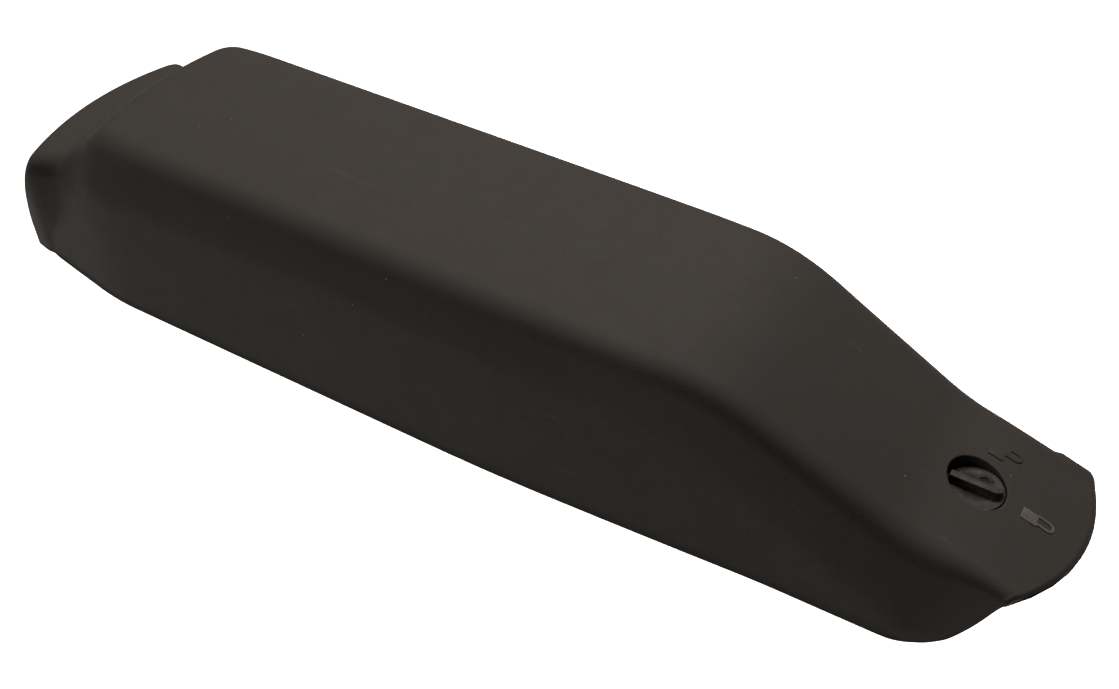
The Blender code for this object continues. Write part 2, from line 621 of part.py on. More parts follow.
def strip_plate(name, x_low, x_high, side):
    """Thin nickel plate with cut corners and a slot between its two welded columns."""
    z_low, z_high = CELL_LAYERS_Z[0] - 6.0, CELL_LAYERS_Z[1] + 6.0
    y_pair = sorted((side * STRIP_Y[0], side * STRIP_Y[1]))
    middle_x, middle_z = (x_low + x_high) / 2, (z_low + z_high) / 2
    outer = rectangle((x_high - x_low) / 2, (z_high - z_low) / 2, 0, 2.0)
    inner = rectangle(*STRIP_SLOT_HALF, 0, 0.8)
    edges = ((outer, y_pair[0]), (outer, y_pair[1]), (inner, y_pair[1]), (inner, y_pair[0]))
    rings = [[(middle_x + x, y, middle_z + z) for x, z, _ in outline] for outline, y in edges]
    ring_stack(name, rings, "nickel", closed=True)


def make_strips():
    columns = cell_columns()
    pairs = list(zip(columns, columns[1:]))
    ends = [(columns[0], columns[0], -1), (columns[-1], columns[-1], -1)]
    spans = [(a, b, 1) for a, b in pairs[::2]] + [(a, b, -1) for a, b in pairs[1::2]] + ends
    for number, (first, last, side) in enumerate(spans, start=1):
        strip_plate(f"nickel_strip_{number:02d}", first - STRIP_REACH, last + STRIP_REACH, side)
    for name, side in (("near_insulation_sheet", -1), ("far_insulation_sheet", 1)):
        y_low, y_high = sorted((side * SHEET_Y[0], side * SHEET_Y[1]))
        low, high = (columns[0] - 12, y_low, SHEET_Z[0]), (columns[-1] + 12, y_high, SHEET_Z[1])
        block(name, low, high, "insulation_paper", 0.1)


def make_board():
    """Battery management board above the cells, its larger components joined to it."""
    board = block("bms_board", *BOARD, "board_green", corner=2.0)
    for part, (low, high) in BOARD_PARTS.items():
        join(board, block(f"helper_{part}", low, high, corner=0.8))
    block("foam_pad", *FOAM, "foam_grey", corner=4.0)


def lead(name, route, radius, slot):
    """Insulated wire along a smooth curve through a few route points."""
    fine = []
    points = [Vector(p) for p in route]
    padded = [2 * points[0] - points[1]] + points + [2 * points[-1] - points[-2]]
    for a, b, c, d in zip(padded, padded[1:], padded[2:], padded[3:]):
        steps = max(2, round((c - b).length / (6 * radius)))
        for i in range(steps):
            t = i / steps
            fine.append(0.5 * (2 * b + (c - a) * t + (2 * a - 5 * b + 4 * c - d) * t ** 2
                               + (3 * b - a - 3 * c + d) * t ** 3))
    fine.append(points[-1])
    curve = bpy.data.curves.new(name, "CURVE")
    curve.dimensions = "3D"
    curve.bevel_depth = radius * MM
    curve.bevel_resolution = 2
    curve.use_fill_caps = True
    spline = curve.splines.new("POLY")
    spline.points.add(len(fine) - 1)
    for spline_point, place_mm in zip(spline.points, fine):
        spline_point.co = (*(place_mm * MM), 1)
    curve.materials.append(finish_material(slot))
    obj = bpy.data.objects.new(name, curve)
    bpy.context.scene.collection.objects.link(obj)


def make_leads():
    first_x, last_x = cell_columns()[0], cell_columns()[-1]
    lead("cell_lead_negative", [(first_x, -38.4, 40), (first_x, -38.6, 54), (first_x - 4, -32, 60),
                                (first_x - 4, -14, 58), (first_x + 4, -4, 57)], LEAD_R, "lead_black")
    lead("cell_lead_positive", [(last_x, -38.4, 40), (last_x - 2, -38.6, 54), (last_x - 16, -34, 60),
                                (20, -33, 61), (-6, -32, 60), (-14, -25, 58.5)], LEAD_R, "lead_red")
    lead("output_lead_negative", [(-129, 6, 57), (-140, 4, 58), (-156, -4, 45), (-172, -6, 26),
                                  (-178, -6, 18)], LEAD_R, "lead_black")
    lead("output_lead_positive", [(-129, 16, 57), (-142, 14, 58), (-158, 6, 45), (-172, 5, 26),
                                  (-178, 5, 18)], LEAD_R, "lead_red")
    lead("balance_harness", [(first_x + 30, -24, 57), (first_x + 26, -34, 58), (first_x + 32, -39.2, 50),
                             (first_x + 60, -39.4, 28), (20, -39.4, 27), (last_x - 18, -39.2, 27)],
         HARNESS_R, "lead_black")


def socket_block(name, x, half, heights, corner):
    return block(name, (x - half[0], -half[1], heights[0]), (x + half[0], half[1], heights[1]), corner=corner)


def make_connector():
    """Discharge socket let into the tray, open downward, with two blades and a signal block."""
    x_half, y_half = CONNECTOR_HALF
    rings = []
    flange_z = TRAY_THICK + GAP
    for grow, z in ((0, 0.0), (0, flange_z), (CONNECTOR_FLANGE, flange_z), (CONNECTOR_FLANGE, flange_z + 2),
                    (-1, flange_z + 2.01), (-1, CONNECTOR_TOP_Z)):
        outline = rectangle(x_half + grow, y_half + grow, z, 2.0)
        rings.append([(CONNECTOR_X + x, y, z) for x, y, z in outline])
    connector = ring_stack("discharge_connector", rings, "connector_plastic")
    cut(connector, socket_block("helper_socket", CONNECTOR_X, SOCKET_HALF, (-2, SOCKET_DEPTH), 1.5))
    root_z = SOCKET_DEPTH + 1
    for number, x in enumerate((CONNECTOR_X - BLADE_X, CONNECTOR_X + BLADE_X)):
        join(connector, socket_block(f"helper_blade_{number}", x, BLADE_HALF, (BLADE_TIP_Z, root_z), 0.2))
    join(connector, socket_block("helper_signal", CONNECTOR_X, SIGNAL_HALF, (SIGNAL_TIP_Z, root_z), 0.5))


# ------------------------------------------------------------------ power button and gauge
def gauge_block(name, low_z, high_z, margin, slot=None):
    half_x, half_y = GAUGE_HALF[1] + margin, GAUGE_HALF[0] + margin
    made = block(name, (-half_x, -half_y, low_z), (half_x, half_y, high_z), slot, corner=1.2)
    return place(made, skirt_frame(GAUGE_Y))


def make_button_and_gauge():
    flange_low, flange_high = BUTTON_FLANGE_HEIGHTS
    profile = [(BUTTON_FLANGE_R, flange_low), (BUTTON_FLANGE_R, flange_high), (BUTTON_R, flange_high + 0.01),
               (BUTTON_R, BUTTON_STANDS - BUTTON_EDGE), (BUTTON_R - BUTTON_EDGE, BUTTON_STANDS)]
    button = turned("power_button", profile, "seal_rubber", count=20)
    place(button, skirt_frame(BUTTON_Y))
    set_origin(button, skirt_frame(BUTTON_Y).translation)
    gauge_block("gauge_lens", *GAUGE_HEIGHTS, 0.0, "gauge_lens")
    board = block("switch_board", *SWITCH_BOARD, "board_green", corner=1.0)
    place(board, skirt_frame(BUTTON_Y))


def main():
    clear_scene()
    make_cover()
    make_tray()
    make_gasket()
    make_cover_screws()
    make_lock()
    make_cells()
    make_holders()
    make_strips()
    make_board()
    make_leads()
    make_connector()
    make_button_and_gauge()


main()
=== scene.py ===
"""Looks of a slim black battery pack for the frame tube of an electric bicycle.

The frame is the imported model's: metres, +X along the pack from the ledge end to the lock end,
+Z up out of the cover, origin below the middle of the pack. Lengths in the tables below are
millimetres, and MM turns them to metres.
"""
import json
import math

import bmesh
import bpy
import numpy as np
from mathutils import Matrix, Vector


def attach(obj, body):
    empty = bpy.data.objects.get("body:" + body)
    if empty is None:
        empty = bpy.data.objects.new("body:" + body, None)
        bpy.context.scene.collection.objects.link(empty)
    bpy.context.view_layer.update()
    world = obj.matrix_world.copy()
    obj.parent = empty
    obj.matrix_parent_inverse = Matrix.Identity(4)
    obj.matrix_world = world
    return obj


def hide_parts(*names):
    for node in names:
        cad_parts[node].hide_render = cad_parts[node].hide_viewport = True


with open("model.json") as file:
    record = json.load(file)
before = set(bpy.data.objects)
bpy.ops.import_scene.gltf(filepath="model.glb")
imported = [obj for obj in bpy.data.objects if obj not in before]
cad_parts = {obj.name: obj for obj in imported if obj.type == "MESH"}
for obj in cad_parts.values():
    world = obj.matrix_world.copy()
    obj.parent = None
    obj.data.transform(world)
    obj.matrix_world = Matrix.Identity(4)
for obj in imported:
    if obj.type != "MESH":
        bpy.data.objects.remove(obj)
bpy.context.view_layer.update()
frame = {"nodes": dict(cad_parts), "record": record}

MM = 0.001
HOUSING, LOCK, BUTTON = "housing", "lock", "button"

# ---- outer skin of the cover: (x, value, ease), straight between, eased at each corner ----
TOP_HEIGHT = [(-238.5, 3.0, 0), (-235.8, 30.0, 4), (-227.0, 52.2, 4), (-207.0, 51.8, 4),
              (-177.5, 78.4, 6), (106.0, 78.4, 18), (181.0, 41.4, 8), (207.5, 35.0, 12), (238.5, 24.8, 0)]
TOP_HALF_WIDTH = [(-238.5, 43.6, 0), (-236.4, 48.6, 1), (-227.0, 51.0, 4), (-207.0, 41.2, 6),
                  (-177.0, 44.4, 6), (-160.0, 46.3, 9), (78.0, 46.3, 15), (130.0, 43.0, 15),
                  (221.0, 37.5, 3), (238.5, 37.5, 0)]
CREASE_HEIGHT = [(-238.5, 1.5, 0), (-219.0, 2.5, 3), (-176.0, 55.5, 6), (-30.0, 57.5, 40),
                 (96.0, 54.0, 14), (202.0, 1.5, 6), (238.5, 1.0, 0)]
RIM_HALF_WIDTH = [(-238.5, 43.0, 0), (-222.0, 49.6, 6), (-168.0, 59.2, 12), (30.0, 58.0, 30),
                  (95.0, 54.2, 20), (140.0, 51.2, 10), (192.0, 49.8, 5), (217.5, 37.9, 6),
                  (238.5, 37.7, 0)]
RIM_HEIGHT = [(-238.5, 0.0, 0), (203.0, 0.0, 3), (209.5, 3.0, 2.5), (214.5, 13.0, 2),
              (219.3, 28.0, 1), (238.5, 22.4, 0)]
CAVITY_FLOOR = [(-238.5, -2.0, 0), (199.0, -2.0, 0), (206.0, 3.0, 2), (211.0, 14.0, 2), (214.5, 25.0, 0)]
BOW = [(-238.5, 0.0030, 0), (-226.0, 0.0040, 4), (-207.0, 0.0022, 6), (-177.0, 0.0025, 8),
       (-150.0, 0.0, 10), (188.0, 0.0, 8), (238.5, -0.0081, 0)]
BOW_CENTRE = [(-238.5, 0.0, 0), (188.0, 0.0, 8), (238.5, 10.0, 0)]
TOP_EASE = [(-238.5, 9.0, 0), (-207.0, 9.0, 0), (-180.0, 10.0, 0), (190.0, 9.0, 0), (238.5, 3.0, 0)]
END_DROP = [(-238.5, 0.0, 0), (237.1, 0.0, 0.8), (238.5, 1.3, 0)]      # rounds the tongue's end
SIDE_DRAFT = 0.085
CROWN = 0.6
CREASE_EASE = 5.0
LIP_HEIGHT = 3.0
LIP_OUT = 0.7
LIP_ROUND = 0.5
WALL = 3.0
X_END = 238.5
FLOOR_DROP = -450.0            # the floor is this far below, where no hard shadow reaches it
FLOOR_HALF = 6000.0
WASH_SHARE = 0.12              # height of the wash light, as a share of the floor's
SKIN_STEP = 2.0                # spacing of the skin's cross-sections
END_STEP = 0.8                 # and close to either end
TIP_STEP = 0.25                # and over the rounding of the tongue's end
CAVITY_STATIONS = [-234.5, -229, -224, -216, -208, -202, -190, -176, -165, -135, -20, 20, 85, 100, 120,
                   150, 170, 184, 194, 203, 213.5]

# ---- lock: depths run down from the skin at its axis ----
LOCK_X = 196.5
RECESS_R = 11.0
RECESS_ROUND = 0.5
RECESS_STEP_DEPTH = 7.6
BOSS_R = 14.5
BOSS_TOP_DEPTH = 1.8
BOSS_END_DEPTH = 16.0
TONGUE_SLOPE = 0.226
BORE_R = 4.4
DISC_R = 10.6
DISC_DEPTH = 3.0
DISC_BOTTOM_DEPTH = 5.9
SHAFT_R = 4.0
SHAFT_END_DEPTH = 17.6
STUD_R = 2.5
STUD_END_DEPTH = 20.9
THREAD_R = 1.6
GRIP_HALF = (9.5, 1.5)
GRIP_DEPTH = 0.2
CAM_SLOT = ((12.0, -7.0, -21.7), (34.0, 22.5, -16.6))
ARROW_CENTRE = (2.2, 4.2)      # of the arrow's arc on the disc
ARROW_R = 2.6
ARROW_ANGLES = (math.radians(20), math.radians(135))
ARROW_RISE = 0.15

# ---- padlock marks, about the lock's axis ----
MARK_RISE = 0.4
MARK_BODY = (6.0, 5.2)         # length along the pack, width
MARK_SHACKLE_R = 1.8           # of the middle of the shackle's wire
MARK_SHACKLE_LEG = 3.9
MARK_WIRE = 1.1
MARK_OVERLAP = 0.5             # of a leg into the body
LOCKED_MARK = (17.3, -0.65)    # middle of the body's near end
LOCKED_SHIFT = 0.65            # the shackle's shift to the side
UNLOCKED_MARK = (-0.7, 18.0)
UNLOCKED_SHIFT = 3.0
OPEN_LEG = 2.7                 # the leg that has left the body

# ---- tray, screws and socket ----
TRAY_THICK = 3.0
POCKET_PITCH = 44.0
POCKET_FIRST_X = -110.0
POCKET_COUNT = 7
POCKET_HALF = (19.2, 10.6)
POCKET_Y = 13.4
POCKET_DEPTH = 1.0
SCREW_PLACES = [(-150.0, 45.0), (96.0, 40.0)]
SOCKET_X = -184.0
SOCKET_OUTER_HALF = (22.0, 11.0)
SOCKET_HALF = (18.0, 7.5)
SOCKET_DEPTH = 10.5
SOCKET_TOP = 16.0
SOCKET_FLANGE = 4.0
BLADE_X = 11.5
BLADE_HALF = (3.5, 0.6)
BLADE_TIP_Z = 2.5
SIGNAL_HALF = (5.0, 2.2)
SIGNAL_TIP_Z = 3.5

# ---- power button and gauge in the end skirt ----
SKIRT_LOW = (-238.5, 3.0)      # x and z where the skirt's straight part starts and ends
SKIRT_HIGH = (-226.0, 51.4)
SKIRT_HEIGHT = 27.0
BUTTON_Y = -16.0
BUTTON_R = 6.0
BUTTON_CLEARANCE = 0.5
BUTTON_FLANGE_R = 8.4
GAUGE_Y = 12.0
GAUGE_HALF = (2.5, 12.0)
GAUGE_CLEARANCE = 0.35
GAUGE_HEIGHTS = (-4.6, 0.3)
GAUGE_END = 2.2                # from the window's end to its first light
GAUGE_LIGHTS = 4


# ---- camera, in metres and degrees ----
CAMERA_PLACE = Vector((0.19928, -0.31028, 0.36792))
CAMERA_TURN = 29.095
CAMERA_DOWN = 44.387
CAMERA_ROLL = -1.363
CAMERA_LENS = 38.81


# ------------------------------------------------------------------ camera and light
def make_camera():
    """Camera about half a metre away, looking down along the pack from its near side."""
    turn, down_angle, roll = math.radians(CAMERA_TURN), math.radians(CAMERA_DOWN), math.radians(CAMERA_ROLL)
    forward = Vector((-math.sin(turn) * math.cos(down_angle), math.cos(turn) * math.cos(down_angle),
                      -math.sin(down_angle)))
    level = Vector((math.cos(turn), math.sin(turn), 0))
    down = forward.cross(level)
    right = math.cos(roll) * level + math.sin(roll) * down
    down = math.cos(roll) * down - math.sin(roll) * level
    data = bpy.data.cameras.new("camera")
    data.sensor_width = 36
    data.lens = CAMERA_LENS
    data.clip_start = 0.01
    camera = bpy.data.objects.new("camera", data)
    rotation = Matrix((right, -down, -forward)).transposed()
    camera.matrix_world = Matrix.Translation(CAMERA_PLACE) @ rotation.to_4x4()
    bpy.context.scene.collection.objects.link(camera)
    bpy.context.scene.camera = camera


def make_softbox(name, place, aim, size, power, colour=(1.0, 1.0, 1.0)):
    """Soft rectangular light that the camera doesn't see itself."""
    data = bpy.data.lights.new(name, "AREA")
    data.color = colour
    data.shape = "RECTANGLE"
    data.size, data.size_y = size
    data.energy = power
    light = bpy.data.objects.new(name, data)
    light.location = place
    light.rotation_euler = (Vector(aim) - Vector(place)).to_track_quat("-Z", "Y").to_euler()
    light.visible_camera = False
    bpy.context.scene.collection.objects.link(light)


def make_studio():
    """White floor, a key softbox high behind the pack, a weaker one in front on the left, and a wash
    light just under the pack that keeps the floor white and fills the shaded sides."""
    scene = bpy.context.scene
    scene.view_settings.view_transform = "Standard"
    world = bpy.data.worlds.new("studio")
    world.use_nodes = True
    world.node_tree.nodes["Background"].inputs["Color"].default_value = (1.0, 1.0, 0.98, 1)
    world.node_tree.nodes["Background"].inputs["Strength"].default_value = 0.05
    scene.world = world
    make_softbox("key_softbox", (-0.25, 1.1, 1.85), (0, 0, 0), (1.3, 0.8), 75, (1.10, 0.99, 0.95))
    make_softbox("front_fill", (-1.9, -1.9, 1.3), (0, 0, 0), (1.2, 1.2), 36, (1.0, 1.0, 0.96))
    make_softbox("floor_wash", (0.1, 0.9, FLOOR_DROP * MM * WASH_SHARE), (0.1, 0.9, -1), (3.2, 2.4), 24)
    corners = [(x * FLOOR_HALF, y * FLOOR_HALF, FLOOR_DROP) for x, y in ((-1, -1), (1, -1), (1, 1), (-1, 1))]
    floor = mesh_object("studio_floor", corners, [(0, 1, 2, 3)], floor_material())


# ------------------------------------------------------------------ materials
class Finish:
    """A Principled material, with helpers that add the nodes behind its colour, roughness and relief."""

    def __init__(self, name, roughness=0.5, metallic=0.0, specular=0.5, sheen=0.0):
        self.material = bpy.data.materials.new(name)
        self.material.use_nodes = True
        self.tree = self.material.node_tree
        self.shader = self.tree.nodes["Principled BSDF"]
        self.shader.inputs["Roughness"].default_value = roughness
        self.shader.inputs["Metallic"].default_value = metallic
        self.shader.inputs["Specular IOR Level"].default_value = specular
        self.shader.inputs["Sheen Weight"].default_value = sheen
        self.where = self.tree.nodes.new("ShaderNodeTexCoord").outputs["Object"]
        self.normal = None

    def stretched(self, scale):
        mapping = self.tree.nodes.new("ShaderNodeMapping")
        mapping.inputs["Scale"].default_value = scale
        self.tree.links.new(self.where, mapping.inputs["Vector"])
        return mapping.outputs["Vector"]

    def noise(self, size_mm, detail=2.0, rough=0.5, where=None):
        """Noise whose lumps are about size_mm across."""
        node = self.tree.nodes.new("ShaderNodeTexNoise")
        node.inputs["Scale"].default_value = 1 / (size_mm * MM)
        node.inputs["Detail"].default_value = detail
        node.inputs["Roughness"].default_value = rough
        self.tree.links.new(where or self.where, node.inputs["Vector"])
        return node.outputs["Fac"]

    def cells(self, size_mm):
        node = self.tree.nodes.new("ShaderNodeTexVoronoi")
        node.inputs["Scale"].default_value = 1 / (size_mm * MM)
        self.tree.links.new(self.where, node.inputs["Vector"])
        return node.outputs["Distance"]

    def ramp(self, value, stops):
        """Colour ramp of (position, colour) stops."""
        node = self.tree.nodes.new("ShaderNodeValToRGB")
        self.tree.links.new(value, node.inputs["Fac"])
        elements = node.color_ramp.elements
        while len(elements) < len(stops):
            elements.new(0.5)
        for element, (position, colour) in zip(elements, stops):
            element.position = position
            element.color = (*colour, 1)
        return node.outputs["Color"]

    def grey_ramp(self, value, low, high, dark=0.0, light=1.0):
        return self.ramp(value, [(low, (dark,) * 3), (high, (light,) * 3)])

    def mix(self, factor, first, second, blend="MIX"):
        node = self.tree.nodes.new("ShaderNodeMix")
        node.data_type = "RGBA"
        node.blend_type = blend
        for socket, value in ((node.inputs[0], factor), (node.inputs[6], first), (node.inputs[7], second)):
            if isinstance(value, bpy.types.NodeSocket):
                self.tree.links.new(value, socket)
            elif isinstance(value, (int, float)):
                socket.default_value = value
            else:
                socket.default_value = (*value, 1)
        return node.outputs[2]

    def relief(self, height, depth_mm):
        """Bump from a height of 0 to 1, laid over the relief before it."""
        node = self.tree.nodes.new("ShaderNodeBump")
        node.inputs["Strength"].default_value = 1.0
        node.inputs["Distance"].default_value = depth_mm * MM
        self.tree.links.new(height, node.inputs["Height"])
        if self.normal:
            self.tree.links.new(self.normal, node.inputs["Normal"])
        self.normal = node.outputs["Normal"]
        self.tree.links.new(self.normal, self.shader.inputs["Normal"])

    def colour(self, value):
        self.tree.links.new(value, self.shader.inputs["Base Color"])

    def roughness(self, value):
        self.tree.links.new(value, self.shader.inputs["Roughness"])


def floor_material():
    finish = Finish("floor_white", roughness=0.9, specular=0.2)
    finish.colour(finish.ramp(finish.noise(900), [(0.3, (0.90, 0.90, 0.89)), (0.7, (0.93, 0.93, 0.92))]))
    return finish.material


def moulded_plastic(name, dark, light, grain_mm=0.55, grain_depth=0.06, rough=(0.68, 0.74), specks=True,
                    cloud_mm=38, specular=0.07):
    """Spark-eroded black moulding: fine grain, faint cloudy wear, and a few pale specks of dust."""
    finish = Finish(name, specular=specular)
    cloud = finish.noise(cloud_mm, detail=3)
    grain = finish.noise(grain_mm, detail=2, rough=0.65)
    body = finish.ramp(cloud, [(0.32, dark), (0.68, light)])
    lift = tuple(c * 1.7 for c in light)
    body = finish.mix(finish.grey_ramp(grain, 0.50, 0.72, 0.0, 0.30), body, lift)
    if specks:
        dust = finish.grey_ramp(finish.cells(14), 0.016, 0.022, 0.55, 0.0)
        body = finish.mix(dust, body, (0.20, 0.19, 0.18))
        streak = finish.noise(5, detail=4, where=finish.stretched((0.10, 1.0, 1.0)))
        scuff = finish.grey_ramp(finish.mix(1.0, finish.grey_ramp(streak, 0.62, 0.75),
                                            finish.grey_ramp(finish.noise(60), 0.52, 0.66), "MULTIPLY"),
                                 0.0, 1.0, 0.0, 0.16)
        body = finish.mix(scuff, body, (0.085, 0.080, 0.074))
    finish.colour(body)
    finish.roughness(finish.grey_ramp(finish.noise(9, detail=3), 0.3, 0.7, *rough))
    finish.relief(grain, grain_depth)
    finish.relief(finish.cells(grain_mm * 0.8), grain_depth * 0.6)
    return finish.material


def rubber(name):
    finish = Finish(name, specular=0.35)
    stops = [(0.3, (0.011, 0.011, 0.012)), (0.7, (0.024, 0.023, 0.022))]
    finish.colour(finish.ramp(finish.noise(6, detail=3), stops))
    finish.roughness(finish.grey_ramp(finish.noise(3), 0.3, 0.7, 0.62, 0.82))
    finish.relief(finish.noise(0.35, detail=2), 0.02)
    return finish.material


def plated_steel(name, dark, light, rough, brushed=(1.0, 1.0, 0.06)):
    """Metal with fine drawn lines and patches of duller plating."""
    finish = Finish(name, metallic=1.0)
    lines = finish.noise(0.25, detail=3, where=finish.stretched(brushed))
    patch = finish.noise(4, detail=3)
    finish.colour(finish.mix(finish.grey_ramp(lines, 0.35, 0.65, 0.0, 0.5),
                             finish.ramp(patch, [(0.3, dark), (0.7, light)]), light))
    finish.roughness(finish.grey_ramp(patch, 0.3, 0.7, *rough))
    finish.relief(lines, 0.006)
    return finish.material


def smooth_coat(name, dark, light, rough, size_mm=5.0):
    """Sleeve, insulation or solder mask: even colour with faint mottling."""
    finish = Finish(name)
    finish.colour(finish.ramp(finish.noise(size_mm, detail=3), [(0.3, dark), (0.7, light)]))
    finish.roughness(finish.grey_ramp(finish.noise(size_mm * 0.6), 0.3, 0.7, *rough))
    finish.relief(finish.noise(size_mm * 0.12, detail=2), 0.01)
    return finish.material


def pressed_board(name):
    """Insulating board with short fibres."""
    finish = Finish(name, specular=0.2)
    fibres = finish.noise(0.6, detail=4, where=finish.stretched((0.2, 1.0, 1.0)))
    finish.colour(finish.ramp(fibres, [(0.3, (0.42, 0.48, 0.38)), (0.7, (0.58, 0.64, 0.52))]))
    finish.roughness(finish.grey_ramp(fibres, 0.3, 0.7, 0.75, 0.9))
    finish.relief(fibres, 0.03)
    return finish.material


def closed_foam(name):
    finish = Finish(name, specular=0.15, sheen=0.2)
    pores = finish.cells(0.9)
    finish.colour(finish.ramp(pores, [(0.1, (0.045, 0.045, 0.05)), (0.5, (0.12, 0.12, 0.13))]))
    finish.roughness(finish.grey_ramp(finish.noise(2), 0.3, 0.7, 0.88, 0.98))
    finish.relief(pores, 0.15)
    return finish.material


def smoked_lens(name):
    finish = Finish(name, specular=0.6)
    stops = [(0.3, (0.020, 0.024, 0.025)), (0.7, (0.030, 0.034, 0.035))]
    finish.colour(finish.ramp(finish.noise(3, detail=2), stops))
    finish.roughness(finish.grey_ramp(finish.noise(2), 0.3, 0.7, 0.10, 0.20))
    finish.relief(finish.noise(1.5, detail=2), 0.008)
    return finish.material


def make_materials():
    warm_dark, warm_light = (0.0250, 0.0236, 0.0212), (0.0262, 0.0248, 0.0222)
    return {
        "cover_plastic": moulded_plastic("cover_plastic", warm_dark, warm_light),
        "tray_plastic": moulded_plastic("tray_plastic", (0.016, 0.016, 0.016), (0.022, 0.021, 0.021),
                                        0.7, 0.05),
        "knob_plastic": moulded_plastic("knob_plastic", (0.012, 0.0113, 0.0098), (0.021, 0.0195, 0.0175),
                                        0.9, 0.05, (0.42, 0.56), cloud_mm=2.5),
        "mark_face": moulded_plastic("mark_face", (0.052, 0.049, 0.045), (0.072, 0.068, 0.063), 0.5, 0.02,
                                     (0.38, 0.48), specks=False, cloud_mm=2.0),
        "seal_rubber": rubber("seal_rubber"),
        "zinc_steel": plated_steel("zinc_steel", (0.50, 0.51, 0.50), (0.70, 0.70, 0.67), (0.25, 0.42)),
        "screw_steel": plated_steel("screw_steel", (0.07, 0.07, 0.075), (0.12, 0.12, 0.125), (0.32, 0.5)),
        "brass": plated_steel("brass", (0.60, 0.42, 0.17), (0.78, 0.58, 0.27), (0.22, 0.38)),
        "cell_sleeve": smooth_coat("cell_sleeve", (0.045, 0.18, 0.26), (0.07, 0.25, 0.34), (0.28, 0.42)),
        "holder_plastic": moulded_plastic("holder_plastic", (0.035, 0.035, 0.036), (0.055, 0.055, 0.056),
                                          0.8, 0.04, specks=False),
        "nickel": plated_steel("nickel", (0.58, 0.55, 0.49), (0.72, 0.69, 0.63), (0.22, 0.36),
                               (0.06, 1.0, 1.0)),
        "insulation_paper": pressed_board("insulation_paper"),
        "board_green": smooth_coat("board_green", (0.012, 0.11, 0.04), (0.03, 0.17, 0.06), (0.35, 0.5), 8.0),
        "lead_red": smooth_coat("lead_red", (0.42, 0.015, 0.015), (0.55, 0.03, 0.025), (0.42, 0.58)),
        "lead_black": smooth_coat("lead_black", (0.014, 0.014, 0.014), (0.026, 0.026, 0.026), (0.42, 0.58)),
        "foam_grey": closed_foam("foam_grey"),
        "connector_plastic": moulded_plastic("connector_plastic", (0.024, 0.024, 0.024),
                                             (0.036, 0.035, 0.034), 0.8, 0.02, (0.40, 0.55), specks=False),
        "gauge_lens": smoked_lens("gauge_lens"),
        "light_guide": smooth_coat("light_guide", (0.45, 0.50, 0.46), (0.58, 0.62, 0.58), (0.30, 0.45), 2.0),
    }


# ------------------------------------------------------------------ mesh helpers
def rounded_line(points, x):
    """Value at x of straight runs through points, each corner eased over +-ease by a parabola."""
    (x0, v0, _), (x1, v1, _) = points[0], points[1]
    slope = (v1 - v0) / (x1 - x0)
    value = v0 + slope * (x - x0)
    for (xa, va, ease), (xb, vb, _) in zip(points[1:], points[2:]):
        next_slope = (vb - va) / (xb - xa)
        past = x - xa
        if past >= ease:
            step = past
        elif past > -ease:
            step = (past + ease) ** 2 / (4 * ease)
        else:
            step = 0.0
        value += (next_slope - slope) * step
        slope = next_slope
    return value


def eased_corner(before, corner, after, reach, steps):
    """Points of a parabola that rounds the corner of before-corner-after."""
    before, corner, after = (np.array(p, float) for p in (before, corner, after))
    start = corner + (before - corner) * min(reach / np.linalg.norm(before - corner), 0.45)
    end = corner + (after - corner) * min(reach / np.linalg.norm(after - corner), 0.45)
    ts = np.linspace(0, 1, steps + 1)
    return [(1 - t) ** 2 * start + 2 * t * (1 - t) * corner + t ** 2 * end for t in ts]


def mesh_object(name, verts, faces, material=None, smooth_angle=None):
    """New object from millimetre points, its faces turned outward."""
    mesh = bpy.data.meshes.new(name)
    mesh.from_pydata([Vector(v) * MM for v in verts], [], faces)
    bm = bmesh.new()
    bm.from_mesh(mesh)
    bmesh.ops.recalc_face_normals(bm, faces=bm.faces)
    bm.to_mesh(mesh)
    bm.free()
    obj = bpy.data.objects.new(name, mesh)
    bpy.context.scene.collection.objects.link(obj)
    if material:
        mesh.materials.append(material)
    if smooth_angle:
        smooth(obj, smooth_angle)
    return obj


def smooth(obj, angle):
    obj.data.shade_smooth()
    obj.data.set_sharp_from_angle(angle=math.radians(angle))


def ring_stack(name, rings, smooth_angle=None):
    """Solid skinned over rings of equally many points, with a flat face at either end."""
    count = len(rings[0])
    last = len(rings) - 1
    faces = []
    for i in range(last):
        a, b = i * count, (i + 1) * count
        for j in range(count):
            k = (j + 1) % count
            faces.append((a + j, a + k, b + k, b + j))
    faces.append(tuple(range(count)))
    faces.append(tuple(range(last * count, (last + 1) * count)))
    return mesh_object(name, [p for ring in rings for p in ring], faces, smooth_angle=smooth_angle)


def circle(radius, height, count=64):
    angles = [2 * math.pi * i / count for i in range(count)]
    return [(radius * math.cos(a), radius * math.sin(a), height) for a in angles]


def turned(name, profile, count=64):
    """Solid of revolution about Z from (radius, height) points."""
    return ring_stack(name, [circle(r, z, count) for r, z in profile], 40)


def round_over(radius, height, size, steps=5):
    """(radius, height) points of a quarter-round from a cylinder's side to its flat end."""
    angles = np.linspace(0, math.pi / 2, steps + 1)
    return [(radius - size + size * math.cos(a), height + size * math.sin(a) - size) for a in angles]


def rounded_rectangle(half_x, half_y, corner, z=0.0, steps=5):
    """Rectangle about the origin with round corners, anticlockwise."""
    points = []
    for quarter, (sx, sy) in enumerate(((1, 1), (-1, 1), (-1, -1), (1, -1))):
        for a in np.linspace(0, math.pi / 2, steps + 1):
            turn = a + quarter * math.pi / 2
            points.append((sx * (half_x - corner) + corner * math.cos(turn),
                           sy * (half_y - corner) + corner * math.sin(turn), z))
    return points


